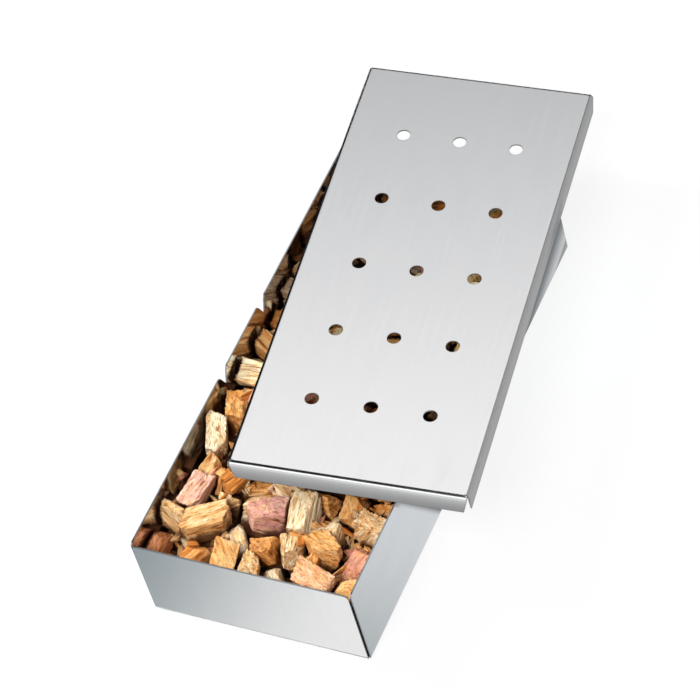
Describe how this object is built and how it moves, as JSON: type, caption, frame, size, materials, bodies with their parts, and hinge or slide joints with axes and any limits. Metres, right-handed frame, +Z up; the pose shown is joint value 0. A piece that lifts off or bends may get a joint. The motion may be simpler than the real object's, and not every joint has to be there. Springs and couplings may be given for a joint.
{
  "type": "grill smoker box",
  "caption": "Folded sheet-steel smoker box for a grill: an open tray filled with wood chips and a loose vented lid lying turned and slid back on its rim.",
  "frame": {"origin": "middle of the underside of the tray's base", "axes": "+Z up, +Y along the tray to its rear, +X across it to the right, as seen from the end wall in the foreground of the picture"},
  "size_m": [0.1271, 0.2662, 0.0576],
  "materials": {
    "stainless_sheet": "bright smooth stainless sheet with a soft mirror sheen",
    "wood_chip": "raw split wood with rough fibrous faces"
  },
  "bodies": {
    "tray": {"tray": "stainless_sheet", "chip_01": "wood_chip", "chip_02": "wood_chip", "chip_03": "wood_chip", "chip_04": "wood_chip", "chip_05": "wood_chip", "chip_06": "wood_chip", "chip_07": "wood_chip", "chip_08": "wood_chip", "chip_09": "wood_chip", "chip_10": "wood_chip", "chip_11": "wood_chip", "chip_12": "wood_chip", "chip_13": "wood_chip", "chip_14": "wood_chip", "chip_15": "wood_chip", "chip_16": "wood_chip", "chip_17": "wood_chip", "chip_18": "wood_chip", "chip_19": "wood_chip", "chip_20": "wood_chip", "chip_21": "wood_chip", "chip_22": "wood_chip", "chip_23": "wood_chip", "chip_24": "wood_chip", "chip_25": "wood_chip", "chip_26": "wood_chip", "chip_27": "wood_chip", "chip_28": "wood_chip", "chip_29": "wood_chip", "chip_30": "wood_chip", "chip_31": "wood_chip", "chip_32": "wood_chip", "chip_33": "wood_chip", "chip_34": "wood_chip", "chip_35": "wood_chip", "chip_36": "wood_chip", "chip_37": "wood_chip", "chip_38": "wood_chip", "chip_39": "wood_chip", "chip_40": "wood_chip", "chip_41": "wood_chip", "chip_42": "wood_chip", "chip_43": "wood_chip", "chip_44": "wood_chip", "chip_45": "wood_chip", "chip_46": "wood_chip", "chip_47": "wood_chip", "chip_48": "wood_chip", "chip_49": "wood_chip", "chip_50": "wood_chip", "chip_51": "wood_chip", "chip_52": "wood_chip", "chips_under_lid": "wood_chip", "chips_middle_layer": "wood_chip", "chips_bottom_layer": "wood_chip"},
    "lid": {"lid": "stainless_sheet"}
  },
  "joints": [
    {"name": "lid_lift", "type": "slide", "parent": "tray", "child": "lid", "axis": [0, 0, 1], "range_m": [0, 0.12]}
  ]
}
